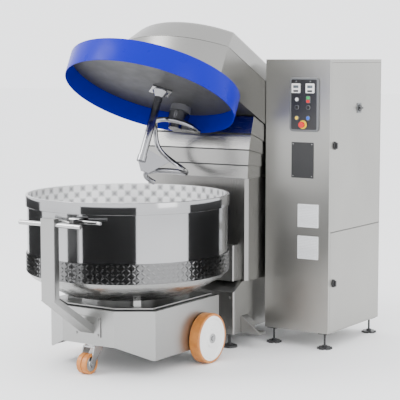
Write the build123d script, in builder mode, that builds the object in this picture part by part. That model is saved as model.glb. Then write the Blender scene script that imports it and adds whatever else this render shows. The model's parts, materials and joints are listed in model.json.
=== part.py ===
"""Floor-standing spiral dough mixer with a tilting head, a removable bowl on a trolley and a control cabinet.

The frame is millimetres, +Z up. The origin is on the floor under the middle of the whole machine, the
trolley's handle points to -Y and the control cabinet stands at +X. The head is modelled raised.
"""

from build123d import *
import math
import os

os.makedirs("parts", exist_ok=True)

# ---- driving dimensions -------------------------------------------------------------------------
machine_x = -150.0  # centre line of the machine, the bowl and the trolley
bowl_y = -458.0  # axis of the bowl
pivot_y = 896.0  # tilt axis of the head
pivot_z = 827.0
raise_angle = 26.0  # head raised above level
shield_steps = 4  # three moving shields share the tilt with the head in equal steps
sheet = 4.0  # stainless sheet of the large covers
slide_gap = 1.0  # air between nested shields

bowl_rim_r = 637.0
bowl_wall_r = 627.0
bowl_wall = 6.0
bowl_rim_z = 1070.0
rim_band = 70.0
bowl_floor_z = 632.0
bowl_corner_r = 60.0
drive_band_r = 636.0
drive_band_z = (592.0, 712.0)
bowl_spindle_r = 40.0
running = 0.05  # radial clearance of a shaft in its bearing

base_half = 376.0
base_front_y = 192.0
base_rear_y = 1130.0
base_bottom_z = 96.0
base_front_z = 376.0
column_floor_z = 440.0
column_front_y = 304.0
column_rear_y = 1132.0
column_half = 408.0
column_top_z = 1132.0
column_chamfer = 20.0
pivot_r = 30.0

head_half = 434.0
head_floor = 401.0  # heights in the head are measured above the tilt axis, with the head level
head_seam = 653.0
head_top = 816.0
head_front = -1450.0  # lengths in the head are measured from the tilt axis, with the head level
head_corner = -1288.0
head_rear = 40.0
seam_gap = 2.0
cover_inset = 60.0
cover_setback = 105.0

ring_r = 556.0
ring_y = -1366.0
ring_low = 253.0
ring_wall = 4.0
ceiling_height = 378.0
ceiling_thick = 8.0
tool_x = -45.0  # both tools stand this far left of the centre line
spiral_y = -955.0
spiral_r = 142.0
spiral_rod_r = 17.0
spindle_r = 30.0
breaker_y = -1219.0

shield_radii = (667.0, 711.0, 770.0, 825.0, 895.0)
shield_angle = 26.1

trolley_half = 405.0
trolley_nose_half = 197.0
trolley_front_y = -868.0
trolley_chamfer_y = -729.0
trolley_rear_y = -30.0
trolley_top_z = 400.0
trolley_low_z = 100.0
trolley_nose_z = 179.0
axle_r = 15.0
axle_y = -223.0
wheel_r = 157.5
wheel_width = 75.0
wheel_inner = 408.0
caster_r = 62.5
caster_y = -803.0
caster_trail = 75.0
swivel_r = 12.0

post_y = -1213.0  # centre of the handle post
post_width = 100.0
post_depth = 50.0
post_low_z = 497.0
post_top_z = 983.0
handle_bar_z = 947.0

cabinet_left = 287.0
cabinet_right = 765.0
cabinet_front = 492.0
cabinet_rear = 1232.0
cabinet_low = 108.0
cabinet_top = 1900.0
cabinet_wall = 3.0
door_thick = 20.0
door_flange = 24.0
door_split = 775.0
door_hinge = (768.0, 1229.0)
latch_y = 562.0
latch_heights = (1342.0, 437.0)

tilt = math.radians(raise_angle)


def level(height):
    """Plane parallel to the head's floor; its origin is above the tilt axis on the centre line."""
    up = (0, math.sin(tilt), math.cos(tilt))
    origin = (machine_x, pivot_y + height * up[1], pivot_z + height * up[2])
    return Plane(origin=origin, x_dir=(1, 0, 0), z_dir=up)


def side(offset, turn=1.0):
    """Plane across the machine at an offset from the centre line, turned up with a share of the tilt."""
    angle = tilt * turn
    return Plane(
        origin=(machine_x + offset, pivot_y, pivot_z),
        x_dir=(0, math.cos(angle), -math.sin(angle)),
        z_dir=(1, 0, 0),
    )


def polar(radius, degrees):
    """Point in a side plane at a radius from the tilt axis, at an angle above the forward direction."""
    angle = math.radians(degrees)
    return (-radius * math.cos(angle), radius * math.sin(angle))


def save(part, label):
    """Label a finished piece and write it to its own STEP file."""
    part.label = label
    export_step(part, f"parts/{label}.step")


across = Plane.YZ  # normal to +X
along = Plane.XZ  # normal to -Y

# ---- base ---------------------------------------------------------------------------------------
base_step_y = 453.0  # behind this the base is narrower
base_narrow = 330.0

with BuildPart() as base_housing:
    with BuildSketch(across.offset(machine_x - base_half)):
        with BuildLine():
            Polyline(
                (base_front_y, base_bottom_z),
                (base_front_y, base_front_z),
                (column_front_y, column_floor_z),
                (base_rear_y, column_floor_z),
                (base_rear_y, base_bottom_z),
                close=True,
            )
        make_face()
    extrude(amount=2 * base_half)
    fillet(base_housing.edges().filter_by(Axis.Z).group_by(Axis.Y)[0], radius=12)
    for hand in (-1, 1):
        middle = machine_x + hand * (base_narrow + base_half + 1) / 2
        with BuildSketch(Plane.XY.offset(base_bottom_z)):
            with Locations((middle, (base_step_y + base_rear_y) / 2)):
                Rectangle(base_half - base_narrow + 1, base_rear_y - base_step_y + 1)
        extrude(amount=column_floor_z - base_bottom_z, mode=Mode.SUBTRACT)
    offset(amount=-sheet, openings=base_housing.faces().sort_by(Axis.Z)[0], kind=Kind.INTERSECTION)
    # two cover screws on the front right wing
    with BuildSketch(along.offset(-base_front_y)):
        with Locations(
            (machine_x + base_half - 34, 340),
            (machine_x + base_half - 34, 140),
            (machine_x - base_half + 34, 340),
            (machine_x - base_half + 34, 140),
        ):
            Circle(8)
    extrude(amount=3)
save(base_housing.part, "base_housing")

# ---- levelling feet -----------------------------------------------------------------------------
foot_r = 52.0
foot_inset_y = 47.0
front_foot_x = base_half - 59
rear_foot_x = base_narrow - 50
machine_foot_places = [
    (machine_x + hand * front_foot_x, base_front_y + foot_inset_y) for hand in (-1, 1)
] + [(machine_x + hand * rear_foot_x, base_rear_y - 60) for hand in (-1, 1)]

with BuildPart() as machine_feet:
    for x, y in machine_foot_places:
        with BuildSketch(Plane.XY):
            with Locations((x, y)):
                Circle(foot_r)
        extrude(amount=14, taper=8)
        with BuildSketch(Plane.XY.offset(14)):
            with Locations((x, y)):
                Circle(20)
        extrude(amount=12)
        with BuildSketch(Plane.XY.offset(26)):
            with Locations((x, y)):
                Circle(11)
        extrude(amount=base_bottom_z - 26 + 40)
        with BuildSketch(Plane.XY.offset(base_bottom_z - 12)):
            with Locations((x, y)):
                RegularPolygon(radius=18, side_count=6)
        extrude(amount=10)
        # crossbar of the base that takes the stem
        with BuildSketch(Plane.XY.offset(base_bottom_z + 4)):
            with Locations((x, y)):
                Rectangle(70, 70)
        extrude(amount=30)
save(machine_feet.part, "machine_feet")

# ---- column -------------------------------------------------------------------------------------
with BuildPart() as column_shell:
    with BuildSketch(Plane.XY.offset(column_floor_z)):
        with Locations((machine_x, (column_front_y + column_rear_y) / 2)):
            Rectangle(2 * column_half, column_rear_y - column_front_y)
    extrude(amount=column_top_z - column_floor_z)
    chamfer(column_shell.edges().filter_by(Axis.Z), length=column_chamfer)
    offset(amount=-sheet, openings=column_shell.faces().filter_by(Axis.Z), kind=Kind.INTERSECTION)
    # round seats for the tilt shaft in both side walls, each with a stiffening pad inside
    for hand in (-1, 1):
        inner = machine_x + hand * (column_half - sheet - (0 if hand < 0 else 16))
        with BuildSketch(across.offset(inner)):
            with Locations((pivot_y, pivot_z)):
                Circle(75)
        extrude(amount=16)
    with BuildSketch(across.offset(machine_x - column_half - 1)):
        with Locations((pivot_y, pivot_z)):
            Circle(pivot_r + running)
    extrude(amount=2 * column_half + 2, mode=Mode.SUBTRACT)
    # opening behind the bowl drive
    with BuildSketch(along.offset(-column_front_y + 1)):
        with Locations((machine_x, 590)):
            Rectangle(180, 200)
    extrude(amount=-sheet - 2, mode=Mode.SUBTRACT)
    # louvres in the rear wall
    with BuildSketch(along.offset(-column_rear_y - 1)):
        with GridLocations(0, 28, 1, 9):
            with Locations((machine_x, 620)):
                SlotOverall(420, 9)
    extrude(amount=sheet + 2, mode=Mode.SUBTRACT)
save(column_shell.part, "column_shell")

with BuildPart() as pivot_shaft:
    with BuildSketch(across.offset(machine_x - column_half - 4)):
        with Locations((pivot_y, pivot_z)):
            Circle(pivot_r)
    extrude(amount=2 * column_half + 8)
save(pivot_shaft.part, "pivot_shaft")

# ---- telescopic shields -------------------------------------------------------------------------
step_angle = raise_angle / shield_steps
shield_tuck = 8.0  # the top of each shield ends this far inside the next one


def shield(index, half, turn):
    """U-shaped shield: a front plate and two cheeks, nested inside the next one up."""
    low = polar(shield_radii[index], shield_angle)
    top = polar(shield_radii[index + 1] - shield_tuck, shield_angle + step_angle + 0.1)
    next_low = polar(shield_radii[index + 1], shield_angle)
    outline = [low, top, (0, next_low[1] + 14), (0, low[1])]
    bore = [
        (low[0] + sheet, low[1] - 50),
        (low[0] + sheet, low[1]),
        (top[0] + sheet, top[1] + 1),
        (top[0] + sheet, top[1] + 100),
        (50, top[1] + 100),
        (50, low[1] - 50),
    ]
    with BuildPart() as part:
        with BuildSketch(side(-half, turn)):
            with BuildLine():
                Polyline(*outline, close=True)
            make_face()
        extrude(amount=2 * half)
        with BuildSketch(side(-half + sheet, turn)):
            with BuildLine():
                Polyline(*bore, close=True)
            make_face()
        extrude(amount=2 * (half - sheet), mode=Mode.SUBTRACT)
    return part.part


shield_names = ("column_collar", "lower_shield", "middle_shield", "upper_shield")
for index, name in enumerate(shield_names):
    half = column_half + 1 + (index + 1) * (sheet + slide_gap)
    save(shield(index, half, index / shield_steps), name)

# ---- bowl drive ---------------------------------------------------------------------------------
drive_half = 337.0
drive_front_y = 248.0
drive_top_z = 679.0
drive_wheel_r = 88.0
drive_wheel_z = (604.0, 668.0)
drive_wheel_y = bowl_y + drive_band_r + 0.3 + drive_wheel_r
drive_shaft_r = 12.0

with BuildPart() as bowl_drive_housing:
    with BuildSketch(Plane.XY.offset(column_floor_z)):
        with Locations((machine_x, (drive_front_y + column_front_y) / 2)):
            Rectangle(2 * drive_half, column_front_y - drive_front_y)
    extrude(amount=drive_top_z - column_floor_z)
    fillet(bowl_drive_housing.edges().filter_by(Axis.Z).group_by(Axis.Y)[0], radius=10)
    offset(amount=-sheet, openings=bowl_drive_housing.faces().sort_by(Axis.Y)[-1], kind=Kind.INTERSECTION)
    # window that the friction wheel looks through
    with BuildSketch(along.offset(-drive_front_y + 1)):
        with Locations((machine_x, sum(drive_wheel_z) / 2)):
            Rectangle(192, 76)
    extrude(amount=-sheet - 2, mode=Mode.SUBTRACT)
    # bearing block of the wheel's shaft, on a shelf across the housing
    with BuildSketch(Plane.XY.offset(520)):
        with Locations((machine_x, (drive_front_y + column_front_y) / 2)):
            Rectangle(120, column_front_y - drive_front_y - 2 * sheet)
    extrude(amount=40)
    with BuildSketch(Plane.XY.offset(500)):
        with Locations((machine_x, drive_wheel_y)):
            Circle(drive_shaft_r + running)
    extrude(amount=80, mode=Mode.SUBTRACT)
save(bowl_drive_housing.part, "bowl_drive_housing")

with BuildPart() as drive_wheel:
    with BuildSketch(Plane.XY.offset(drive_wheel_z[0])):
        with Locations((machine_x, drive_wheel_y)):
            Circle(drive_wheel_r)
    extrude(amount=drive_wheel_z[1] - drive_wheel_z[0])
    fillet(drive_wheel.edges().filter_by(GeomType.CIRCLE), radius=5)
    with BuildSketch(Plane.XY.offset(515)):
        with Locations((machine_x, drive_wheel_y)):
            Circle(drive_shaft_r)
    extrude(amount=drive_wheel_z[0] - 515 + 10)
save(drive_wheel.part, "drive_wheel")

# cable duct between the base and the control cabinet, with its sloping lid
gusset_x = machine_x + base_half
with BuildPart() as link_duct:
    with BuildSketch(along.offset(-base_step_y + 90)):
        with BuildLine():
            Polyline(
                (gusset_x + 0.5, base_bottom_z),
                (gusset_x + 0.5, 210),
                (cabinet_left + 85, cabinet_low - 8),
                (cabinet_left + 85, base_bottom_z),
                close=True,
            )
        make_face()
    extrude(amount=80)
    with BuildSketch(Plane.XY.offset(cabinet_low)):
        with Locations((cabinet_left + 60, base_step_y - 50)):
            Rectangle(122, 200)
    extrude(amount=200, mode=Mode.SUBTRACT)
save(link_duct.part, "link_duct")

# ---- head ---------------------------------------------------------------------------------------
def head_outline(half, front, corner, rear):
    """Plan of the head: a shallow arc in front, straight sides and a square back."""
    with BuildLine() as outline:
        ThreePointArc((-half, corner), (0, front), (half, corner))
        Polyline((half, corner), (half, rear), (-half, rear), (-half, corner))
    return outline.line


head_floor_rear = polar(shield_radii[-1], shield_angle)[0]
spindle_hole_r = 54.0

with BuildPart() as head_shell:
    with BuildSketch(level(head_floor)):
        with BuildLine():
            add(head_outline(head_half, head_front, head_corner, head_rear))
        make_face()
    extrude(amount=head_seam - head_floor)
    with BuildSketch(level(head_floor + sheet)):
        with BuildLine():
            add(head_outline(head_half - sheet, head_front + sheet, head_corner + 2, head_rear - sheet))
        make_face()
    extrude(amount=head_seam - head_floor, mode=Mode.SUBTRACT)
    # behind the pan the head is open below, for the shields and the arms
    with BuildSketch(level(head_floor - 1)):
        with Locations((0, (head_floor_rear + sheet + head_rear - sheet) / 2)):
            Rectangle(2 * (head_half - sheet), head_rear - head_floor_rear - 2 * sheet)
    extrude(amount=sheet + 3, mode=Mode.SUBTRACT)
    with BuildSketch(level(head_floor - 1)):
        with Locations((tool_x, spiral_y)):
            Circle(spindle_hole_r)
    extrude(amount=sheet + 3, mode=Mode.SUBTRACT)
    # folded upright edge at the back of the pan
    with BuildSketch(level(head_floor + sheet)):
        with Locations((0, head_floor_rear + sheet / 2 + 1)):
            Rectangle(2 * (head_half - sheet) - 30, sheet)
    extrude(amount=24)
save(head_shell.part, "head_shell")

with BuildPart() as head_cover:
    for inside in (0, 1):
        shrink = inside * sheet
        with BuildSketch(level(head_seam + seam_gap - inside)):
            with BuildLine():
                add(
                    head_outline(
                        head_half - shrink, head_front + shrink, head_corner + shrink, head_rear - shrink
                    )
                )
            make_face()
        with BuildSketch(level(head_top - shrink)):
            with BuildLine():
                add(
                    head_outline(
                        head_half - cover_inset - shrink,
                        head_front + cover_setback + shrink,
                        head_corner + cover_setback + shrink,
                        head_rear - 100 - shrink,
                    )
                )
            make_face()
        loft(ruled=True, mode=Mode.SUBTRACT if inside else Mode.ADD)
save(head_cover.part, "head_cover")

arm_x = 300.0
arm_thick = 20.0
with BuildPart() as head_arms:
    for start in (-arm_x - arm_thick, arm_x):
        with BuildSketch(side(start)):
            with BuildLine():
                Polyline((-70, 0), (-500, 412), (-500, 640), (-20, 640), (60, 0), close=True)
            make_face()
            Circle(72)
            Circle(pivot_r + running, mode=Mode.SUBTRACT)
        extrude(amount=arm_thick)
    # cross tie between the arms, and the lugs that carry the pan
    with BuildSketch(side(-arm_x)):
        with Locations((-440, 600)):
            Rectangle(60, 60)
    extrude(amount=2 * arm_x)
    lug_length = head_half - sheet - 0.5 - arm_x - arm_thick
    for start in (-arm_x - arm_thick - lug_length, arm_x + arm_thick):
        with BuildSketch(side(start)):
            with Locations((-300, 600)):
                Rectangle(300, 16)
        extrude(amount=lug_length)
save(head_arms.part, "head_arms")

# ---- bowl cover ---------------------------------------------------------------------------------
with BuildPart() as cover_ring:
    with BuildSketch(level(ring_low)):
        with Locations((0, ring_y)):
            Circle(ring_r)
            Circle(ring_r - ring_wall, mode=Mode.SUBTRACT)
    extrude(amount=head_floor - ring_low - 1)
save(cover_ring.part, "cover_ring")

with BuildPart() as cover_ceiling:
    with BuildSketch(level(ceiling_height)):
        with Locations((0, ring_y)):
            Circle(ring_r - ring_wall - 0.5)
        with Locations((tool_x, spiral_y)):
            Circle(spindle_hole_r, mode=Mode.SUBTRACT)
    extrude(amount=ceiling_thick)
    # spacers between the ceiling and the pan
    with BuildSketch(level(ceiling_height + ceiling_thick)):
        with Locations((0, ring_y + 30)):
            with PolarLocations(380, 6):
                Circle(20)
    extrude(amount=head_floor - ceiling_height - ceiling_thick - 0.5)
    # inspection flap near the front
    with BuildSketch(level(ceiling_height)):
        with Locations((-60, ring_y - 380)):
            Rectangle(250, 90)
    extrude(amount=-6)
save(cover_ceiling.part, "cover_ceiling")

# ---- tools --------------------------------------------------------------------------------------
with BuildPart() as spindle_housing:
    with BuildSketch(level(336)):
        with Locations((tool_x, spiral_y)):
            Circle(68)
    extrude(amount=ceiling_height - 336 - 0.5)
    with BuildSketch(level(ceiling_height - 2)):
        with Locations((tool_x, spiral_y)):
            Circle(spindle_hole_r - 1)
    extrude(amount=140)
    with BuildSketch(level(330)):
        with Locations((tool_x, spiral_y)):
            Circle(spindle_r + running)
    extrude(amount=200, mode=Mode.SUBTRACT)
save(spindle_housing.part, "spindle_housing")

with BuildPart() as spiral_motor:
    with BuildSketch(level(520)):
        with Locations((tool_x, spiral_y)):
            Circle(115)
    extrude(amount=40)
    with BuildSketch(level(560)):
        with Locations((tool_x, spiral_y)):
            Circle(92)
    extrude(amount=170)
    fillet(spiral_motor.edges().filter_by(GeomType.CIRCLE).sort_by(Axis.Z)[-1], radius=16)
save(spiral_motor.part, "spiral_motor")


hook_turns = 1.62
hook_steps = 16
curl_start = 1.25  # from this turn on the hook closes to a smaller radius
curl_r = 80.0


def spiral_point(turn):
    """Centre line of the hook: a level arm, a long falling half turn, a level arm and a closing curl."""
    knots = ((0.0, 230.0), (0.5, 222.0), (0.62, 90.0), (1.0, -72.0), (1.25, -132.0), (hook_turns, -156.0))
    for (t0, h0), (t1, h1) in zip(knots, knots[1:]):
        if turn <= t1:
            share = (turn - t0) / (t1 - t0)
            height = h0 + (h1 - h0) * share
            break
    radius = spiral_r - (spiral_r - curl_r) * max(0, turn - curl_start) / (hook_turns - curl_start)
    angle = math.radians(20) - 2 * math.pi * turn
    return (tool_x + radius * math.cos(angle), spiral_y + radius * math.sin(angle), height)


with BuildPart() as spiral_tool:
    with BuildSketch(level(300)):
        with Locations((tool_x, spiral_y)):
            Circle(spindle_r)
    extrude(amount=215)
    # flange of the hook, with the boss that joins it to the first arm
    with BuildSketch(level(262)):
        with Locations((tool_x, spiral_y)):
            Circle(70)
    extrude(amount=68)
    with BuildSketch(level(215)):
        with Locations((tool_x, spiral_y)):
            Circle(46)
    extrude(amount=50)
    tilt_frame = level(0)
    with BuildLine() as hook:
        Spline(
            *[
                tilt_frame.from_local_coords(spiral_point(hook_turns * i / hook_steps))
                for i in range(hook_steps + 1)
            ]
        )
    with BuildSketch(Plane(origin=hook.line @ 0, z_dir=hook.line % 0)):
        Circle(spiral_rod_r)
    sweep(path=hook.line)
    # flat shoulder that carries the hook's first arm
    with BuildSketch(level(216)):
        with Locations((tool_x, spiral_y)):
            Polygon((-40, -30), (150, 22), (150, 78), (-40, 40), align=None)
    extrude(amount=28)
save(spiral_tool.part, "spiral_tool")

breaker_low = -182.0
breaker_r = 26.0
with BuildPart() as breaker_bar:
    with BuildSketch(level(ceiling_height - 12.5)):
        with Locations((tool_x, breaker_y)):
            RegularPolygon(radius=92, side_count=4, rotation=0)
    extrude(amount=12)
    with BuildSketch(level(ceiling_height - 12.5)):
        with Locations((tool_x, breaker_y)):
            Circle(52)
    extrude(amount=-40, taper=33)
    with BuildSketch(level(breaker_low + 75)):
        with Locations((tool_x, breaker_y)):
            Circle(breaker_r)
    extrude(amount=ceiling_height - 20 - breaker_low - 75)
    # clamp collar and the flared blade below it
    with BuildSketch(level(breaker_low + 60)):
        with Locations((tool_x, breaker_y)):
            Circle(breaker_r + 5)
    extrude(amount=40)
    blade_plane = Plane(
        origin=level(0).from_local_coords((tool_x, breaker_y, 0)),
        x_dir=(level(0).x_dir + level(0).y_dir).normalized(),
        z_dir=(level(0).x_dir - level(0).y_dir).normalized(),
    )
    with BuildSketch(blade_plane.offset(-6)):
        with BuildLine():
            Polyline(
                (-32, breaker_low + 82),
                (18, breaker_low + 150),
                (180, breaker_low + 112),
                (66, breaker_low),
                (14, breaker_low),
                close=True,
            )
        make_face()
    extrude(amount=12)
save(breaker_bar.part, "breaker_bar")

# ---- bowl ---------------------------------------------------------------------------------------
bowl_section = Plane(origin=(machine_x, bowl_y, 0), x_dir=(1, 0, 0), z_dir=(0, -1, 0))

with BuildPart() as bowl_shell:
    with BuildSketch(bowl_section):
        with BuildLine():
            wall_low = bowl_floor_z - bowl_wall + bowl_corner_r
            floor_r = bowl_wall_r - bowl_corner_r
            inner_r = bowl_wall_r - bowl_wall
            Line((0, bowl_floor_z - bowl_wall), (floor_r, bowl_floor_z - bowl_wall))
            RadiusArc((floor_r, bowl_floor_z - bowl_wall), (bowl_wall_r, wall_low), -bowl_corner_r)
            Polyline(
                (bowl_wall_r, wall_low),
                (bowl_wall_r, bowl_rim_z - rim_band),
                (bowl_rim_r, bowl_rim_z - rim_band),
                (bowl_rim_r, bowl_rim_z - 3),
                (bowl_rim_r - 3, bowl_rim_z),
                (inner_r, bowl_rim_z),
                (inner_r, wall_low),
            )
            RadiusArc((inner_r, wall_low), (floor_r, bowl_floor_z), bowl_corner_r - bowl_wall)
            Polyline((floor_r, bowl_floor_z), (0, bowl_floor_z), (0, bowl_floor_z - bowl_wall))
        make_face()
    revolve(axis=Axis((machine_x, bowl_y, 0), (0, 0, 1)))
save(bowl_shell.part, "bowl_shell")

with BuildPart() as drive_band:
    with BuildSketch(Plane.XY.offset(drive_band_z[0])):
        with Locations((machine_x, bowl_y)):
            Circle(drive_band_r)
            Circle(bowl_wall_r, mode=Mode.SUBTRACT)
    extrude(amount=drive_band_z[1] - drive_band_z[0])
save(drive_band.part, "drive_band")

bowl_base_z = 460.0
with BuildPart() as bowl_base:
    with BuildSketch(bowl_section):
        with BuildLine():
            Polyline(
                (0, bowl_base_z - 45),
                (bowl_spindle_r, bowl_base_z - 45),
                (bowl_spindle_r, bowl_base_z),
                (420, bowl_base_z),
                (600, 558),
                (632, drive_band_z[0] - 0.5),
                (622, drive_band_z[0] - 0.5),
                (594, 566),
                (418, bowl_base_z + 9),
                (418, bowl_floor_z - bowl_wall - 0.2),
                (410, bowl_floor_z - bowl_wall - 0.2),
                (410, bowl_base_z + 9),
                (0, bowl_base_z + 9),
                close=True,
            )
        make_face()
    revolve(axis=Axis((machine_x, bowl_y, 0), (0, 0, 1)))
save(bowl_base.part, "bowl_base")

# ---- trolley ------------------------------------------------------------------------------------
def trolley_outline(inset=0.0):
    """Plan of the trolley: a narrow nose, two chamfered shoulders and straight sides."""
    with BuildLine() as outline:
        Polyline(
            (machine_x - trolley_nose_half + inset * 0.4, trolley_front_y + inset),
            (machine_x + trolley_nose_half - inset * 0.4, trolley_front_y + inset),
            (machine_x + trolley_half - inset, trolley_chamfer_y + inset * 0.7),
            (machine_x + trolley_half - inset, trolley_rear_y - inset),
            (machine_x - trolley_half + inset, trolley_rear_y - inset),
            (machine_x - trolley_half + inset, trolley_chamfer_y + inset * 0.7),
            close=True,
        )
    return outline.line


with BuildPart() as trolley_body:
    with BuildSketch(Plane.XY.offset(trolley_low_z)):
        with BuildLine():
            add(trolley_outline())
        make_face()
    extrude(amount=trolley_top_z - trolley_low_z)
    with BuildSketch(Plane.XY.offset(trolley_low_z - 1)):
        with BuildLine():
            add(trolley_outline(sheet))
        make_face()
    extrude(amount=trolley_top_z - trolley_low_z - sheet + 1, mode=Mode.SUBTRACT)
    # the skirt rises towards the nose, over the caster
    with BuildSketch(across.offset(machine_x - trolley_half - 1)):
        with BuildLine():
            Polyline(
                (trolley_front_y - 1, trolley_low_z - 1),
                (trolley_front_y - 1, trolley_nose_z),
                (trolley_front_y + sheet, trolley_nose_z),
                (trolley_chamfer_y - 8, trolley_low_z),
                (trolley_chamfer_y - 8, trolley_low_z - 1),
                close=True,
            )
        make_face()
    extrude(amount=2 * trolley_half + 2, mode=Mode.SUBTRACT)
    # floor of the nose, where the caster is bolted
    with BuildSketch(Plane.XY.offset(trolley_nose_z)):
        with BuildLine():
            Polyline(
                (machine_x - 185, trolley_front_y + sheet),
                (machine_x + 185, trolley_front_y + sheet),
                (machine_x + 240, trolley_front_y + 200),
                (machine_x - 240, trolley_front_y + 200),
                close=True,
            )
        make_face()
        with Locations((machine_x, caster_y)):
            Circle(swivel_r + running, mode=Mode.SUBTRACT)
    extrude(amount=12)
    # seats of the wheel axle
    for start in (-trolley_half, trolley_half - 30):
        with BuildSketch(across.offset(machine_x + start)):
            with Locations((axle_y, wheel_r)):
                Circle(40)
        extrude(amount=30)
    with BuildSketch(across.offset(machine_x - trolley_half - 1)):
        with Locations((axle_y, wheel_r)):
            Circle(axle_r + running)
    extrude(amount=2 * trolley_half + 2, mode=Mode.SUBTRACT)
save(trolley_body.part, "trolley_body")

turntable_low_z = 404.0
with BuildPart() as turntable_frame:
    with BuildSketch(Plane.XY.offset(turntable_low_z)):
        with BuildLine():
            add(trolley_outline(34))
        make_face()
    extrude(amount=10)
    with BuildSketch(Plane.XY.offset(trolley_top_z + 0.3)):
        with Locations((machine_x, bowl_y)):
            with GridLocations(520, 520, 2, 2):
                Rectangle(60, 60)
            Circle(150)
    extrude(amount=turntable_low_z - trolley_top_z)
    with BuildSketch(Plane.XY.offset(turntable_low_z + 10)):
        with Locations((machine_x, bowl_y)):
            Circle(190)
    extrude(amount=bowl_base_z - turntable_low_z - 15)
    # four rollers' blocks under the rim of the turntable
    with BuildSketch(Plane.XY.offset(turntable_low_z + 10)):
        with Locations((machine_x, bowl_y)):
            with PolarLocations(340, 4, start_angle=45):
                Rectangle(90, 46)
    extrude(amount=bowl_base_z - turntable_low_z - 16)
    with BuildSketch(Plane.XY.offset(bowl_base_z - 65)):
        with Locations((machine_x, bowl_y)):
            Circle(bowl_spindle_r + running)
    extrude(amount=70, mode=Mode.SUBTRACT)
save(turntable_frame.part, "turntable_frame")

with BuildPart() as wheel_axle:
    with BuildSketch(across.offset(machine_x - wheel_inner - wheel_width - 8)):
        with Locations((axle_y, wheel_r)):
            Circle(axle_r)
    extrude(amount=2 * (wheel_inner + wheel_width + 8))
save(wheel_axle.part, "wheel_axle")

tyre_thick = 15.0
for hand, name in ((-1, "left"), (1, "right")):
    start = machine_x + (wheel_inner if hand > 0 else -wheel_inner - wheel_width)
    with BuildPart() as tyre:
        with BuildSketch(across.offset(start)):
            with Locations((axle_y, wheel_r)):
                Circle(wheel_r)
        extrude(amount=wheel_width)
        chamfer(tyre.edges().filter_by(GeomType.CIRCLE), length=8)
        with BuildSketch(across.offset(start - 1)):
            with Locations((axle_y, wheel_r)):
                Circle(wheel_r - tyre_thick)
        extrude(amount=wheel_width + 2, mode=Mode.SUBTRACT)
    save(tyre.part, f"{name}_tyre")
    with BuildPart() as disc:
        with BuildSketch(across.offset(start + 1)):
            with Locations((axle_y, wheel_r)):
                Circle(wheel_r - tyre_thick)
                Circle(axle_r + running, mode=Mode.SUBTRACT)
        extrude(amount=wheel_width - 2)
        outer_x = start + (wheel_width - 1 if hand > 0 else 1)
        with BuildSketch(across.offset(outer_x)):
            with Locations((axle_y, wheel_r)):
                Circle(30)
                Circle(axle_r + running, mode=Mode.SUBTRACT)
        extrude(amount=6 * hand)
    save(disc.part, f"{name}_wheel")

# caster: a swivelling fork with two wheels side by side on one pin
caster_pin_y = caster_y - caster_trail
caster_half = 38.0
fork_thick = 8.0
with BuildPart() as caster_fork:
    fork_top = trolley_nose_z - 12
    with BuildSketch(Plane.XY.offset(fork_top)):
        with Locations((machine_x, caster_y)):
            Circle(52)
    extrude(amount=9)
    with BuildSketch(Plane.XY.offset(fork_top)):
        with Locations((machine_x, caster_y - 12)):
            Rectangle(2 * (caster_half + fork_thick), 90)
    extrude(amount=-10)
    for start in (-caster_half - fork_thick, caster_half):
        with BuildSketch(across.offset(machine_x + start)):
            with BuildLine():
                Polyline(
                    (caster_y + 33, fork_top),
                    (caster_y - 57, fork_top),
                    (caster_pin_y - 20, caster_r),
                    (caster_pin_y, caster_r - 20),
                    (caster_pin_y + 20, caster_r),
                    (caster_y + 10, fork_top - 30),
                    close=True,
                )
            make_face()
        extrude(amount=fork_thick)
    with BuildSketch(across.offset(machine_x - caster_half - fork_thick - 3)):
        with Locations((caster_pin_y, caster_r)):
            Circle(8)
    extrude(amount=2 * (caster_half + fork_thick + 3))
    with BuildSketch(Plane.XY.offset(fork_top - 8)):
        with Locations((machine_x, caster_y)):
            Circle(swivel_r)
    extrude(amount=34)
save(caster_fork.part, "caster_fork")

with BuildPart() as caster_wheels:
    for start in (-caster_half + 1.5, 1.5):
        with BuildSketch(across.offset(machine_x + start)):
            with Locations((caster_pin_y, caster_r)):
                Circle(caster_r)
        extrude(amount=caster_half - 3)
    fillet(caster_wheels.edges().filter_by(GeomType.CIRCLE), radius=6)
    with BuildSketch(across.offset(machine_x - caster_half + 0.7)):
        with Locations((caster_pin_y, caster_r)):
            Circle(20)
    extrude(amount=2 * caster_half - 1.4)
    with BuildSketch(across.offset(machine_x - caster_half)):
        with Locations((caster_pin_y, caster_r)):
            Circle(8 + running)
    extrude(amount=2 * caster_half, mode=Mode.SUBTRACT)
save(caster_wheels.part, "caster_wheels")

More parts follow.
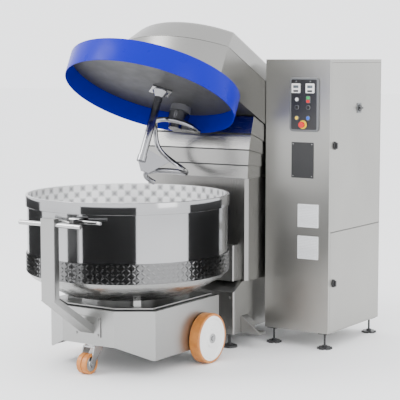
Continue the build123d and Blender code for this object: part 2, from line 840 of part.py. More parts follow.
# ---- handle -------------------------------------------------------------------------------------
arm_plate_z = (229.0, 354.0)
arm_plate_thick = 8.0
arm_plate_y = trolley_front_y - 0.2
with BuildPart() as handle_post:
    with BuildSketch(Plane.XY.offset(post_low_z)):
        with Locations((machine_x, post_y)):
            RectangleRounded(post_width, post_depth, 5)
    extrude(amount=post_top_z - post_low_z)
    # sloping arm of the same tube, mitred to the post
    with BuildSketch(across.offset(machine_x - post_width / 2)):
        with BuildLine():
            Polyline(
                (post_y - post_depth / 2, post_low_z),
                (post_y - post_depth / 2, post_low_z + 6),
                (post_y + post_depth / 2, post_low_z + 6),
                (arm_plate_y - arm_plate_thick, 306),
                (arm_plate_y - arm_plate_thick, 252),
                close=True,
            )
        make_face()
    extrude(amount=post_width)
    with BuildSketch(along.offset(-arm_plate_y)):
        with Locations((machine_x, sum(arm_plate_z) / 2)):
            RectangleRounded(200, arm_plate_z[1] - arm_plate_z[0], 6)
    extrude(amount=arm_plate_thick)
    with BuildSketch(along.offset(-arm_plate_y + arm_plate_thick)):
        with Locations((machine_x, sum(arm_plate_z) / 2)):
            with GridLocations(164, 92, 2, 2):
                RegularPolygon(radius=8, side_count=6)
    extrude(amount=6)
    # bent rod at the back of the post that carries the release lever
    lever_x = machine_x + 118
    lever_y = post_y + 92
    lever_z = 948.0
    with BuildLine() as rod_path:
        FilletPolyline(
            (machine_x + 20, post_y + 10, lever_z + 12),
            (machine_x + 20, lever_y, lever_z + 12),
            (lever_x - 34, lever_y, lever_z),
            radius=24,
        )
    with BuildSketch(Plane(origin=rod_path.line @ 0, z_dir=rod_path.line % 0)):
        Circle(9)
    sweep(path=rod_path.line)
save(handle_post.part, "handle_post")

bar_half = 230.0
with BuildPart() as handle_bar:
    for start, end in ((-bar_half, -post_width / 2 - 0.2), (post_width / 2 + 0.2, bar_half)):
        with BuildSketch(across.offset(machine_x + start)):
            with Locations((post_y, handle_bar_z)):
                Circle(14)
        extrude(amount=end - start)
    fillet(handle_bar.edges().filter_by(GeomType.CIRCLE).group_by(Axis.X)[0], radius=3)
    fillet(handle_bar.edges().filter_by(GeomType.CIRCLE).group_by(Axis.X)[-1], radius=3)
save(handle_bar.part, "handle_bar")

with BuildPart() as release_lever:
    with BuildSketch(across.offset(lever_x - 30)):
        with Locations((lever_y, lever_z + 8)):
            RectangleRounded(46, 56, 8)
    extrude(amount=72)
    with BuildSketch(across.offset(lever_x + 30)):
        with Locations((lever_y + 8, lever_z + 14)):
            Circle(11)
    extrude(amount=150)
    fillet(release_lever.edges().filter_by(GeomType.CIRCLE).sort_by(Axis.X)[-1], radius=4)
save(release_lever.part, "release_lever")

# ---- control cabinet ----------------------------------------------------------------------------
cabinet_mid_x = (cabinet_left + cabinet_right) / 2
cabinet_mid_y = (cabinet_front + cabinet_rear) / 2
cabinet_width = cabinet_right - cabinet_left
cabinet_depth = cabinet_rear - cabinet_front
door_low_z = cabinet_low + 6
door_top_z = cabinet_top - 22
door_front_y = cabinet_front + door_flange
door_rear_y = cabinet_rear - 6
box_mid = (185.0, 1607.0)  # middle of the control box on the front, across from the right edge and up
box_size = (216.0, 352.0)
box_x = cabinet_right - box_mid[0]
vent_x = cabinet_right - 152
vent_heights = (880.0, 670.0)
vent_size = 152.0

with BuildPart() as cabinet_carcass:
    with BuildSketch(Plane.XY.offset(cabinet_low)):
        with Locations((cabinet_mid_x, cabinet_mid_y)):
            Rectangle(cabinet_width, cabinet_depth)
    extrude(amount=cabinet_top - cabinet_low)
    with BuildSketch(Plane.XY.offset(cabinet_low + cabinet_wall)):
        with Locations((cabinet_mid_x, cabinet_mid_y)):
            Rectangle(cabinet_width - 2 * cabinet_wall, cabinet_depth - 2 * cabinet_wall)
    extrude(amount=cabinet_top - cabinet_low - 2 * cabinet_wall, mode=Mode.SUBTRACT)
    # two door openings in the right side, with a rail between them
    for low, high in ((door_low_z - 1, door_split - 1), (door_split + 1, door_top_z + 1)):
        with BuildSketch(across.offset(cabinet_right - door_thick - 6)):
            with Locations(((door_front_y + door_rear_y) / 2, (low + high) / 2)):
                Rectangle(door_rear_y - door_front_y + 3, high - low)
        extrude(amount=door_thick + 8, mode=Mode.SUBTRACT)
    # folded return behind the front flange, where the latches' cams close
    with BuildSketch(Plane.XY.offset(cabinet_low + cabinet_wall)):
        with Locations((cabinet_right - door_thick - 10, cabinet_front + (door_flange + 16) / 2)):
            Rectangle(3, door_flange + 16)
    extrude(amount=cabinet_top - cabinet_low - 2 * cabinet_wall)
    # vent openings in the front
    with BuildSketch(along.offset(-cabinet_front + 1)):
        for height in vent_heights:
            with Locations((vent_x, height)):
                Rectangle(vent_size - 24, vent_size - 24)
    extrude(amount=-cabinet_wall - 2, mode=Mode.SUBTRACT)
save(cabinet_carcass.part, "cabinet_carcass")

with BuildPart() as cabinet_feet:
    for x in (cabinet_left + 46, cabinet_right - 46):
        for y in (cabinet_front + 46, cabinet_rear - 46):
            with BuildSketch(Plane.XY):
                with Locations((x, y)):
                    Circle(52)
                    with PolarLocations(47, 6):
                        Circle(9, mode=Mode.SUBTRACT)
            extrude(amount=12, taper=10)
            with BuildSketch(Plane.XY.offset(11)):
                with Locations((x, y)):
                    Circle(17)
            extrude(amount=13)
            with BuildSketch(Plane.XY.offset(20)):
                with Locations((x, y)):
                    Circle(7)
            extrude(amount=cabinet_low - 20)
            with BuildSketch(Plane.XY.offset(cabinet_low - 8)):
                with Locations((x, y)):
                    Rectangle(68, 68)
            extrude(amount=8)
save(cabinet_feet.part, "cabinet_feet")

door_shaft_r = 8.0
for name, low, high, latch_z in (
    ("upper", door_split + 3, door_top_z, latch_heights[0]),
    ("lower", door_low_z, door_split - 3, latch_heights[1]),
):
    with BuildPart() as door:
        with BuildSketch(across.offset(cabinet_right - door_thick)):
            with Locations(((door_front_y + door_rear_y) / 2, (low + high) / 2)):
                Rectangle(door_rear_y - door_front_y, high - low)
        extrude(amount=door_thick)
        # folded pan: hollow from inside
        with BuildSketch(across.offset(cabinet_right - door_thick - 1)):
            with Locations(((door_front_y + door_rear_y) / 2, (low + high) / 2)):
                Rectangle(door_rear_y - door_front_y - 5, high - low - 5)
        extrude(amount=door_thick - 2, mode=Mode.SUBTRACT)
        with BuildSketch(across.offset(cabinet_right - door_thick)):
            with Locations((latch_y, latch_z)):
                Circle(door_shaft_r + 8)
        extrude(amount=door_thick - 1)
        with BuildSketch(across.offset(cabinet_right - door_thick - 1)):
            with Locations((latch_y, latch_z)):
                Circle(door_shaft_r + running)
        extrude(amount=door_thick + 2, mode=Mode.SUBTRACT)
    save(door.part, f"{name}_door")
    with BuildPart() as latch:
        with BuildSketch(across.offset(cabinet_right + 0.4)):
            with Locations((latch_y, latch_z)):
                Ellipse(20, 27)
        extrude(amount=10)
        fillet(latch.faces().sort_by(Axis.X)[-1].edges(), radius=4)
        with BuildSketch(across.offset(cabinet_right + 9)):
            with Locations((latch_y, latch_z)):
                SlotOverall(40, 12, rotation=90)
        extrude(amount=13)
        with BuildSketch(across.offset(cabinet_right - door_thick - 3)):
            with Locations((latch_y, latch_z)):
                Circle(door_shaft_r)
        extrude(amount=door_thick + 5)
        # cam behind the door, hanging down from the shaft when it is open
        with BuildSketch(across.offset(cabinet_right - door_thick - 5)):
            with Locations((latch_y - 14, latch_z)):
                Rectangle(46, 16)
        extrude(amount=4.4)
    save(latch.part, f"{name}_latch")

with BuildPart() as vent_grilles:
    for height in vent_heights:
        with BuildSketch(along.offset(-cabinet_front + 0.2)):
            with Locations((vent_x, height)):
                RectangleRounded(vent_size, vent_size, 3)
        extrude(amount=7)
        with BuildSketch(along.offset(-cabinet_front)):
            with Locations((vent_x, height)):
                Rectangle(vent_size - 26, vent_size - 26)
        extrude(amount=-20)
        for step in range(-6, 7):
            with BuildSketch(along.offset(-cabinet_front + 8)):
                with Locations((vent_x, height + 10.0 * step)):
                    Rectangle(vent_size - 18, 3)
            extrude(amount=-4, mode=Mode.SUBTRACT)
save(vent_grilles.part, "vent_grilles")

with BuildPart() as name_plate:
    with BuildSketch(along.offset(-cabinet_front + 0.2)):
        with Locations((cabinet_right - 198, 1244)):
            RectangleRounded(164, 234, 3)
    extrude(amount=3)
save(name_plate.part, "name_plate")

with BuildPart() as equipment_plate:
    with BuildSketch(across.offset(cabinet_left + cabinet_wall + 12)):
        with Locations((cabinet_mid_y, 1000)):
            Rectangle(cabinet_depth - 120, 1500)
    extrude(amount=4)
    # drives, contactor rows and terminal rail on the plate
    plate_x = cabinet_left + cabinet_wall + 16
    for y, z, wide, high, deep in (
        (cabinet_mid_y - 150, 1480, 170, 330, 190),
        (cabinet_mid_y + 110, 1480, 220, 330, 190),
        (cabinet_mid_y, 1120, 520, 110, 90),
        (cabinet_mid_y, 900, 520, 90, 75),
        (cabinet_mid_y, 480, 480, 70, 60),
    ):
        with BuildSketch(across.offset(plate_x)):
            with Locations((y, z)):
                Rectangle(wide, high)
        extrude(amount=deep)
    for y in (cabinet_mid_y - 260, cabinet_mid_y + 260):
        with BuildSketch(across.offset(cabinet_left + cabinet_wall)):
            with GridLocations(0, 1300, 1, 2):
                with Locations((y, 1000)):
                    Circle(10)
        extrude(amount=12)
save(equipment_plate.part, "equipment_plate")

# ---- controls -----------------------------------------------------------------------------------
bezel_thick = 14.0
face_y = cabinet_front - bezel_thick
panel_width = 188.0
panel_height = 324.0

with BuildPart() as control_bezel:
    with BuildSketch(along.offset(-cabinet_front + 0.2)):
        with Locations((box_x, box_mid[1])):
            RectangleRounded(box_size[0], box_size[1], 24)
    extrude(amount=bezel_thick - 0.2)
    fillet(control_bezel.faces().sort_by(Axis.Y)[0].edges(), radius=6)
    with BuildSketch(along.offset(-face_y + 1)):
        with Locations((box_x, box_mid[1])):
            RectangleRounded(panel_width + 0.6, panel_height + 0.6, 8)
    extrude(amount=-6, mode=Mode.SUBTRACT)
save(control_bezel.part, "control_bezel")

panel_y = face_y + 2.0  # front of the black panel
with BuildPart() as control_panel:
    with BuildSketch(along.offset(-panel_y)):
        with Locations((box_x, box_mid[1])):
            RectangleRounded(panel_width, panel_height, 8)
    extrude(amount=-2.9)
save(control_panel.part, "control_panel")

left_column_x = cabinet_right - 234
right_column_x = cabinet_right - 150
timer_xs = (cabinet_right - 242, cabinet_right - 138)
timer_z = 1713.0
timer_size = 62.0
timer_depth = 8.0
button_row_z = 1640.0
selector_row_z = 1589.0
colour_row_z = 1520.0
stop_x, stop_z = cabinet_right - 190, 1477.0
collar_r, button_r, collar_depth = 15.0, 11.2, 8.0
button_gap = 5.0  # air behind a button, more than its travel
double_half = 24.0  # the start and stop keys stand above each other in one frame


def knob(name, x, z, radius, near, far, extra=None):
    """Round key between two depths in front of the panel, with an optional second disc on it."""
    with BuildPart() as part:
        with BuildSketch(along.offset(-panel_y + near)):
            with Locations((x, z)):
                Circle(radius)
        extrude(amount=far - near)
        if extra:
            with BuildSketch(along.offset(-panel_y + far)):
                with Locations((x, z)):
                    Circle(extra[0])
            extrude(amount=extra[1])
        fillet(part.faces().sort_by(Axis.Y)[0].edges(), radius=1.2)
    save(part.part, name)


with BuildPart() as timers:
    for x in timer_xs:
        with BuildSketch(along.offset(-panel_y + 0.1)):
            with Locations((x, timer_z)):
                RectangleRounded(timer_size, timer_size, 5)
        extrude(amount=timer_depth)
        with BuildSketch(along.offset(-panel_y + timer_depth + 1)):
            with Locations((x, timer_z + 10)):
                Rectangle(44, 22)
            with Locations((x, timer_z - 18)):
                Rectangle(36.8, 11.8)
        extrude(amount=-1.9, mode=Mode.SUBTRACT)
        with BuildSketch(along.offset(-panel_y + timer_depth)):
            with Locations((x, timer_z - 18)):
                Rectangle(36.8, 11.8)
        extrude(amount=-5, mode=Mode.SUBTRACT)
save(timers.part, "timers")

for name, x in zip(("left_timer_key", "right_timer_key"), timer_xs):
    with BuildPart() as rocker:
        with BuildSketch(along.offset(-panel_y + timer_depth - 3)):
            with Locations((x, timer_z - 18)):
                RectangleRounded(35.6, 11, 2)
        extrude(amount=5)
        with BuildSketch(along.offset(-panel_y + timer_depth + 3)):
            with Locations((x, timer_z - 18)):
                Rectangle(4, 14)
        extrude(amount=-1.5, mode=Mode.SUBTRACT)
    save(rocker.part, name)

with BuildPart() as button_collars:
    with BuildSketch(along.offset(-panel_y + 0.1)):
        for x, z in (
            (left_column_x, button_row_z),
            (left_column_x, selector_row_z),
            (right_column_x, selector_row_z),
            (left_column_x, colour_row_z),
            (right_column_x, colour_row_z),
        ):
            with Locations((x, z)):
                Circle(collar_r)
                Circle(button_r + 0.3, mode=Mode.SUBTRACT)
        with Locations((right_column_x, button_row_z)):
            RectangleRounded(30, 2 * double_half, 9)
            with Locations((0, 11), (0, -11)):
                Rectangle(22.6, 18.6, mode=Mode.SUBTRACT)
    extrude(amount=collar_depth)
    # small lamps above the timers
    with BuildSketch(along.offset(-panel_y + 0.1)):
        for x in timer_xs:
            with Locations((x, timer_z + 44)):
                Circle(5)
    extrude(amount=3)
    # ring under the emergency stop
    with BuildSketch(along.offset(-panel_y + 0.1)):
        with Locations((stop_x, stop_z)):
            Circle(28)
            Circle(12, mode=Mode.SUBTRACT)
    extrude(amount=3)
save(button_collars.part, "button_collars")

knob("white_button", left_column_x, button_row_z, button_r, button_gap, 11)
knob("yellow_button", left_column_x, colour_row_z, button_r, button_gap, 11)
knob("blue_button", right_column_x, colour_row_z, button_r, button_gap, 11)
knob("emergency_button", stop_x, stop_z, 11, 6.5, 15, (20, 13))

for name, rise in (("start_button", 11), ("stop_button", -11)):
    with BuildPart() as key:
        with BuildSketch(along.offset(-panel_y + button_gap)):
            with Locations((right_column_x, button_row_z + rise)):
                RectangleRounded(22, 18, 3)
        extrude(amount=5.5)
    save(key.part, name)

for name, x in (("left_selector", left_column_x), ("right_selector", right_column_x)):
    with BuildPart() as selector:
        with BuildSketch(along.offset(-panel_y + 1)):
            with Locations((x, selector_row_z)):
                Circle(button_r)
        extrude(amount=9)
        with BuildSketch(along.offset(-panel_y + 10)):
            with Locations((x, selector_row_z)):
                RectangleRounded(7, 21, 2)
        extrude(amount=9)
    save(selector.part, name)

switch_y, switch_z = cabinet_front + 411, 1577.0
with BuildPart() as isolator_plate:
    with BuildSketch(across.offset(cabinet_right + 0.1)):
        with Locations((switch_y, switch_z)):
            RectangleRounded(58, 68, 5)
    extrude(amount=4)
save(isolator_plate.part, "isolator_plate")

with BuildPart() as isolator_knob:
    with BuildSketch(across.offset(cabinet_right + 4.5)):
        with Locations((switch_y, switch_z)):
            Circle(23)
    extrude(amount=7)
    with BuildSketch(across.offset(cabinet_right + 11.5)):
        with Locations((switch_y, switch_z)):
            SlotOverall(44, 13)
    extrude(amount=10.5)
save(isolator_knob.part, "isolator_knob")
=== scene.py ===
"""Looks of a floor-standing spiral dough mixer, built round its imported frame.

Metres, +Z up. The trolley's handle points to -Y and the control cabinet stands at +X.
"""

import json
import math

import bmesh
import bpy
import numpy as np
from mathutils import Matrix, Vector

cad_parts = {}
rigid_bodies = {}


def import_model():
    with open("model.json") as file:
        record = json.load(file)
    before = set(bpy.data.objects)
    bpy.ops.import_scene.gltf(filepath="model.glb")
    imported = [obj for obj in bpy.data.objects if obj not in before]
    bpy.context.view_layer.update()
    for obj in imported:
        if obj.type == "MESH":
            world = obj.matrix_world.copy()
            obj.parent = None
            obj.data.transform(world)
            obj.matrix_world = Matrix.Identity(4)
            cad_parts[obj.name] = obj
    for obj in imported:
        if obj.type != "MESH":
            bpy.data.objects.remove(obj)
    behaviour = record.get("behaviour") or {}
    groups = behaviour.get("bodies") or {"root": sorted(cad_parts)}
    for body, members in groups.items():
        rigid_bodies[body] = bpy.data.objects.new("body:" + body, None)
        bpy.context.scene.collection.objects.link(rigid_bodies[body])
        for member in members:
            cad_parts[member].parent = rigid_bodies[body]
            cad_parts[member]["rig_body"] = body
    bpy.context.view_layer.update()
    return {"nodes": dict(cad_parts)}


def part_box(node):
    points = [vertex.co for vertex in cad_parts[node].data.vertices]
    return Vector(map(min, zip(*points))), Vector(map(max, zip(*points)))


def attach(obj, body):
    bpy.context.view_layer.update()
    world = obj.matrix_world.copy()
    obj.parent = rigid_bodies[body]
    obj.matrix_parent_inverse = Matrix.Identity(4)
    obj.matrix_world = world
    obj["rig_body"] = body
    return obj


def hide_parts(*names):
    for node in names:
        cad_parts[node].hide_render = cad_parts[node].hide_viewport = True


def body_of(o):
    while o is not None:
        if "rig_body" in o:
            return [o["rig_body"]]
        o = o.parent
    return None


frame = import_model()

# ---- cabinet and doors ----------------------------------------------------------------------------
# A tall cupboard of folded stainless sheet with a brushed grain running up it. The two doors close the
# right side. Every folded edge of the real sheet has a small radius, which catches the light.
CABINET_TONE = (0.37, 0.365, 0.345)
CABINET_FOLD = 0.0025


def shader(name, tone, rough, metal=0.0):
    """New material: a principled shader with one tone, one roughness and a share of metal."""
    made = bpy.data.materials.new(name)
    made.use_nodes = True
    surface = made.node_tree.nodes["Principled BSDF"]
    surface.inputs["Base Color"].default_value = (*tone, 1)
    surface.inputs["Roughness"].default_value = rough
    surface.inputs["Metallic"].default_value = metal
    return made, made.node_tree, surface


def grained(tree, stretch, detail=4.0):
    """Noise on object coordinates, stretched by a scale on each axis."""
    place = tree.nodes.new("ShaderNodeTexCoord")
    turn = tree.nodes.new("ShaderNodeMapping")
    turn.inputs["Scale"].default_value = stretch
    noise = tree.nodes.new("ShaderNodeTexNoise")
    noise.inputs["Scale"].default_value = 1.0
    noise.inputs["Detail"].default_value = detail
    tree.links.new(place.outputs["Object"], turn.inputs["Vector"])
    tree.links.new(turn.outputs["Vector"], noise.inputs["Vector"])
    return noise.outputs["Fac"]


def ranged(tree, value, low, high):
    """A noise value of about 0.3 to 0.7 spread over low to high."""
    spread = tree.nodes.new("ShaderNodeMapRange")
    spread.inputs["From Min"].default_value = 0.3
    spread.inputs["From Max"].default_value = 0.7
    spread.inputs["To Min"].default_value = low
    spread.inputs["To Max"].default_value = high
    tree.links.new(value, spread.inputs["Value"])
    return spread.outputs["Result"]


def tinted(tree, value, dark, light):
    """A colour between two tones, picked by a value."""
    ramp = tree.nodes.new("ShaderNodeValToRGB")
    ramp.color_ramp.elements[0].position = 0.3
    ramp.color_ramp.elements[1].position = 0.7
    ramp.color_ramp.elements[0].color = (*dark, 1)
    ramp.color_ramp.elements[1].color = (*light, 1)
    tree.links.new(value, ramp.inputs["Fac"])
    return ramp.outputs["Color"]


def embossed(tree, surface, value, depth, strength=1.0):
    """Bump of a given depth in metres from a value."""
    bump = tree.nodes.new("ShaderNodeBump")
    bump.inputs["Strength"].default_value = strength
    bump.inputs["Distance"].default_value = depth
    tree.links.new(value, bump.inputs["Height"])
    tree.links.new(bump.outputs["Normal"], surface.inputs["Normal"])


def brushed(name, tone, rough, stretch):
    """Brushed stainless: fine stretched noise in the roughness and the bump, cloudy noise in the tone."""
    made, tree, surface = shader(name, tone, rough, metal=1.0)
    grain = grained(tree, stretch)
    tree.links.new(ranged(tree, grain, rough - 0.03, rough + 0.04), surface.inputs["Roughness"])
    clouds = grained(tree, (1.7, 1.7, 1.3), detail=2.0)
    dark, light = (tuple(share * part for part in tone) for share in (0.93, 1.05))
    tree.links.new(tinted(tree, clouds, dark, light), surface.inputs["Base Color"])
    embossed(tree, surface, grain, 0.00002, 0.4)
    return made


def softened(node, material, fold=0.0015):
    """Copy of a CAD node, merged, flat stretches joined and its sharp edges rounded, in one finish."""
    source = frame["nodes"][node]
    mesh = source.data.copy()
    mesh.name = node + "_form"
    work = bmesh.new()
    work.from_mesh(mesh)
    bmesh.ops.remove_doubles(work, verts=work.verts, dist=2e-5)
    bmesh.ops.dissolve_limit(
        work, angle_limit=math.radians(0.5), verts=work.verts, edges=work.edges, use_dissolve_boundaries=False
    )
    work.to_mesh(mesh)
    work.free()
    if "custom_normal" in mesh.attributes:
        mesh.attributes.remove(mesh.attributes["custom_normal"])
    mesh.shade_smooth()
    mesh.set_sharp_from_angle(angle=math.radians(32))
    mesh.materials.clear()
    mesh.materials.append(material)
    piece = bpy.data.objects.new(node + "_form", mesh)
    bpy.context.scene.collection.objects.link(piece)
    if fold:
        bevel = piece.modifiers.new("fold", "BEVEL")
        bevel.width = fold
        bevel.segments = 2
        bevel.limit_method = "ANGLE"
        bevel.angle_limit = math.radians(40)
        bevel.harden_normals = True
    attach(piece, body_of(source)[0])
    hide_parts(node)
    return piece


def finished(node, material):
    """A CAD node shown as it is, in one finish."""
    piece = frame["nodes"][node]
    piece.data.materials.clear()
    piece.data.materials.append(material)
    return piece


cabinet_steel = brushed("cabinet_brushed_steel", CABINET_TONE, 0.36, (420, 420, 6))
softened("cabinet_carcass", cabinet_steel, CABINET_FOLD)
softened("upper_door", cabinet_steel, CABINET_FOLD)
softened("lower_door", cabinet_steel, CABINET_FOLD)

# ---- column and shields ---------------------------------------------------------------------------
# The column is welded stainless sheet. Its collar and the three shields above it are bent plates that
# slide inside each other as the head tilts, so their faces are brushed a little brighter.
column_steel = brushed("column_brushed_steel", (0.251, 0.247, 0.238), 0.30, (420, 420, 6))
shield_steel = brushed("shield_brushed_steel", (0.304, 0.3, 0.29), 0.24, (9, 600, 600))
softened("column_shell", column_steel)
for node in ("column_collar", "lower_shield", "middle_shield", "upper_shield"):
    softened(node, shield_steel, 0.001)
finished("pivot_shaft", brushed("turned_steel", (0.363, 0.363, 0.363), 0.22, (6, 300, 300)))

# ---- base, bowl drive and duct --------------------------------------------------------------------
# Bent and bolted stainless sheet under the column, with a housing in front that lets the drive wheel
# through, and a duct for the cables to the cabinet.
base_steel = brushed("base_brushed_steel", (0.343, 0.34, 0.33), 0.36, (8, 400, 400))
for node in ("base_housing", "bowl_drive_housing", "link_duct"):
    softened(node, base_steel, 0.002)

# ---- head -----------------------------------------------------------------------------------------
# The head's pan and its domed cover are stainless, brushed across the machine, with a dark joint
# between them. Inside are two cast arms, the spindle's housing and its motor, painted grey.
head_steel = brushed("head_brushed_steel", (0.235, 0.232, 0.222), 0.30, (8, 480, 480))
softened("head_shell", head_steel, 0.003)
cast, tree, surface = shader("grey_casting", (0.10, 0.10, 0.105), 0.55)
embossed(tree, surface, grained(tree, (300, 300, 300)), 0.0004, 0.6)
tree.links.new(ranged(tree, grained(tree, (30, 30, 30)), 0.45, 0.65), surface.inputs["Roughness"])
for node in ("head_arms", "spindle_housing", "spiral_motor"):
    finished(node, cast)

# ---- bowl cover -----------------------------------------------------------------------------------
# A hoop of blue plastic hangs under the head and closes the bowl. It is rolled from one strip, with a
# rounded bead on its free edge. The ceiling inside it is dark grey sheet.
RING_STEPS = 192
RING_BEAD = 0.00176
tilt = math.radians(26)
machine_x = (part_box("head_shell")[0].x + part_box("head_shell")[1].x) / 2
head_up = np.array((0.0, math.sin(tilt), math.cos(tilt)))
head_back = np.array((0.0, math.cos(tilt), -math.sin(tilt)))
head_right = np.array((1.0, 0.0, 0.0))
pivot = np.array((machine_x, 0.896, 0.827))
RING_CENTRE_Y = -1.366
RING_RADIUS = 0.556
RING_WALL = 0.004
RING_LOW, RING_HIGH = 0.253, 0.400


def meshed(name, grid, across=False, along=False):
    """Mesh over a grid of points, closed on itself in either direction, with its poles merged.

    Rows of the grid run along the first index and columns along the second. A face joins point
    (i, j) to (i + 1, j), (i + 1, j + 1) and (i, j + 1).
    """
    rows, columns = grid.shape[:2]
    number = np.arange(rows * columns).reshape(rows, columns)
    if along:
        number = np.vstack((number, number[:1]))
    if across:
        number = np.hstack((number, number[:, :1]))
    corners = (number[:-1, :-1], number[1:, :-1], number[1:, 1:], number[:-1, 1:])
    faces = np.stack(corners, axis=-1).reshape(-1, 4)
    mesh = bpy.data.meshes.new(name)
    mesh.from_pydata(grid.reshape(-1, 3).tolist(), [], faces.tolist())
    work = bmesh.new()
    work.from_mesh(mesh)
    bmesh.ops.remove_doubles(work, verts=work.verts, dist=1e-6)
    bmesh.ops.recalc_face_normals(work, faces=work.faces)
    work.to_mesh(mesh)
    work.free()
    return mesh


def joined(name, meshes, material, crease=35):
    """One object from several meshes, in one finish, smooth up to a crease angle in degrees."""
    work = bmesh.new()
    for mesh in meshes:
        work.from_mesh(mesh)
    whole = bpy.data.meshes.new(name)
    work.to_mesh(whole)
    work.free()
    whole.shade_smooth()
    whole.set_sharp_from_angle(angle=math.radians(crease))
    whole.materials.append(material)
    piece = bpy.data.objects.new(name, whole)
    bpy.context.scene.collection.objects.link(piece)
    return piece


def turned(profile, centre, axis, first, steps=96, start=0.0):
    """Closed profile of (radius, height) turned round an axis.

    Each point is centre + radius * (cos a * first + sin a * second) + height * axis, where second is
    the axis crossed with first and a runs once round.
    """
    centre, axis, first = (np.asarray(part, float) for part in (centre, axis, first))
    second = np.cross(axis, first)
    angle = start + np.linspace(0, 2 * np.pi, steps, endpoint=False)[None, :, None]
    radius, height = np.asarray(profile, float).T[:, :, None, None]
    grid = centre + radius * (np.cos(angle) * first + np.sin(angle) * second) + height * axis
    return meshed("turned", grid, across=True, along=True)


def rounded(corners, radius, steps=4):
    """Closed outline through corners, each rounded by a quadratic curve that starts a radius away."""
    points = np.asarray(corners, float)
    reach = np.broadcast_to(radius, len(points))[:, None]
    before = np.roll(points, 1, axis=0) - points
    after = np.roll(points, -1, axis=0) - points
    before = before / np.linalg.norm(before, axis=1, keepdims=True)
    after = after / np.linalg.norm(after, axis=1, keepdims=True)
    share = np.linspace(0, 1, steps)[None, :, None]
    start, end = (points + reach * before)[:, None], (points + reach * after)[:, None]
    curve = (1 - share) ** 2 * start + 2 * share * (1 - share) * points[:, None] + share**2 * end
    return curve.reshape(-1, 2)


def oblong(outer, inner, start, end):
    """Corners of a ring's section: up its outer radius from start to end, and back down its inner one."""
    return ((outer, start), (outer, end), (inner, end), (inner, start))


blue, tree, surface = shader("blue_cover_plastic", (0.0, 0.002, 0.30), 0.42)
surface.inputs["Specular IOR Level"].default_value = 0.12
tree.links.new(ranged(tree, grained(tree, (14, 14, 14)), 0.26, 0.36), surface.inputs["Roughness"])
embossed(tree, surface, grained(tree, (90, 90, 90)), 0.0001, 0.4)
ring_centre = pivot + RING_CENTRE_Y * head_back
ring_outer, ring_inner = RING_RADIUS, RING_RADIUS - RING_WALL
hoop = rounded(oblong(ring_outer, ring_inner, RING_LOW, RING_HIGH), RING_BEAD)
cover = joined("cover_hoop", [turned(hoop, ring_centre, head_up, head_right, RING_STEPS)], blue)
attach(cover, "head")
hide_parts("cover_ring")
ceiling, tree, surface = shader("ceiling_grey", (0.035, 0.035, 0.036), 0.5)
tree.links.new(ranged(tree, grained(tree, (9, 9, 9)), 0.42, 0.58), surface.inputs["Roughness"])
embossed(tree, surface, grained(tree, (160, 160, 160)), 0.0002, 0.4)
finished("cover_ceiling", ceiling)

# ---- head cover -----------------------------------------------------------------------------------
# The lid of the head is one stainless pressing: an arched front, leaning sides and a soft shoulder all
# round its flat top. It sits on the pan over a dark joint.
HALF, FRONT, CORNER, REAR = 0.434, -1.450, -1.288, 0.040
SEAM, TOP = 0.655, 0.816
INSET, SETBACK, REAR_SETBACK = 0.060, 0.105, 0.100


def lid_outline(lean, count=48):
    """Plan of the lid at a share of its lean, as points round it: an arc in front, then the straight sides.

    The arc has radius (half squared + rise squared) / (2 rise) and is centred behind its own top.
    """
    half, front, corner = HALF - INSET * lean, FRONT + SETBACK * lean, CORNER + SETBACK * lean
    rear, rise = REAR - REAR_SETBACK * lean, corner - front
    radius = (half**2 + rise**2) / (2 * rise)
    swing = math.asin(half / radius) * np.linspace(-1, 1, count)
    arch = np.stack((radius * np.sin(swing), front + radius * (1 - np.cos(swing))), -1)
    run = np.linspace(0, 1, count)[1:-1, None]
    right = (half, corner) + run * ((0.0, rear - corner),)
    back = (half, rear) + np.linspace(0, 1, count)[:, None] * ((-2 * half, 0.0),)
    left = (-half, rear) + run * ((0.0, corner - rear),)
    return np.vstack((arch, right, back, left))


def lid_row(lean, height, shrink=0.0):
    """One row of the lid: its outline at a lean and a height, drawn in towards the middle by a share."""
    plan = lid_outline(lean)
    plan = plan + shrink * ((0.0, (FRONT + REAR) / 2) - plan)
    place = plan[:, :1] * head_right + plan[:, 1:] * head_back + height * head_up
    return pivot + place


shoulder_low, shoulder_high = 0.80, 0.05
ease = np.linspace(0, 1, 9)[:, None, None]
wall_end = lid_row(shoulder_low, SEAM + (TOP - SEAM) * shoulder_low)
edge, top_start = lid_row(1.0, TOP), lid_row(1.0, TOP, shoulder_high)
shoulder = (1 - ease) ** 2 * wall_end + 2 * ease * (1 - ease) * edge + ease**2 * top_start
lid_rows = np.concatenate(
    (lid_row(0, SEAM, 1.0)[None], lid_row(0, SEAM)[None], shoulder, lid_row(1.0, TOP, 1.0)[None])
)
lid = joined("head_lid", [meshed("head_lid", lid_rows, across=True)], head_steel, 25)
fold = lid.modifiers.new("fold", "BEVEL")
fold.width, fold.segments, fold.limit_method, fold.angle_limit = 0.004, 2, "ANGLE", math.radians(40)
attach(lid, "head")
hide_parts("head_cover")

